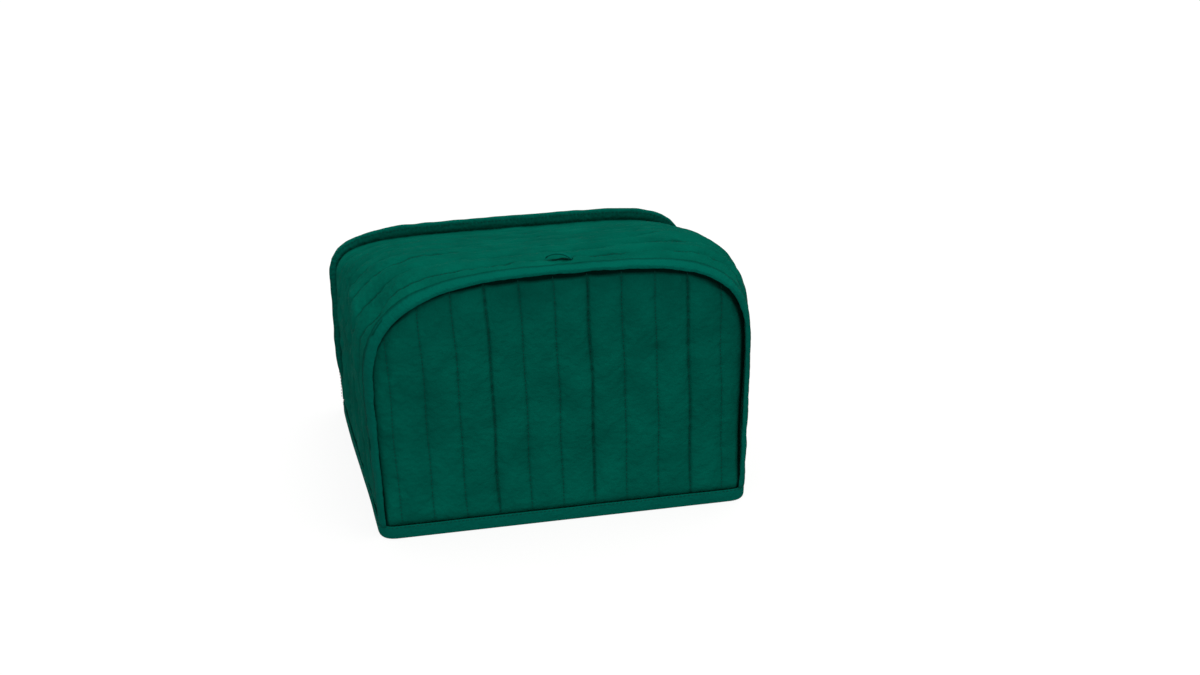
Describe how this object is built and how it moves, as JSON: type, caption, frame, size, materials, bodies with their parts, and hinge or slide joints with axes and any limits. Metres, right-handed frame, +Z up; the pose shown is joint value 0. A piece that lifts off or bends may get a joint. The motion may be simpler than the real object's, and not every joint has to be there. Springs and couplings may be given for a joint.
{
  "type": "toaster cover",
  "caption": "Quilted cloth cover with arched end panels, a round-shouldered gusset, bound seams, a bound hem and a small lift loop, standing empty on its hem.",
  "frame": {"origin": "on the surface the cover stands on, under the middle of its outline", "axes": "+X to the right of the front panel, +Y from the front panel to the back panel, +Z up"},
  "size_m": [0.3212, 0.217, 0.2231],
  "materials": {
    "quilted_cloth": "dark green poly-cotton broadcloth, quilted over thin wadding, faint sheen",
    "binding_cloth": "dark green poly-cotton bias binding, smooth"
  },
  "bodies": {
    "root": {"front_panel": "quilted_cloth", "back_panel": "quilted_cloth", "gusset": "quilted_cloth", "front_binding": "binding_cloth", "back_binding": "binding_cloth", "hem_binding": "binding_cloth", "lift_loop": "binding_cloth"}
  },
  "joints": []
}
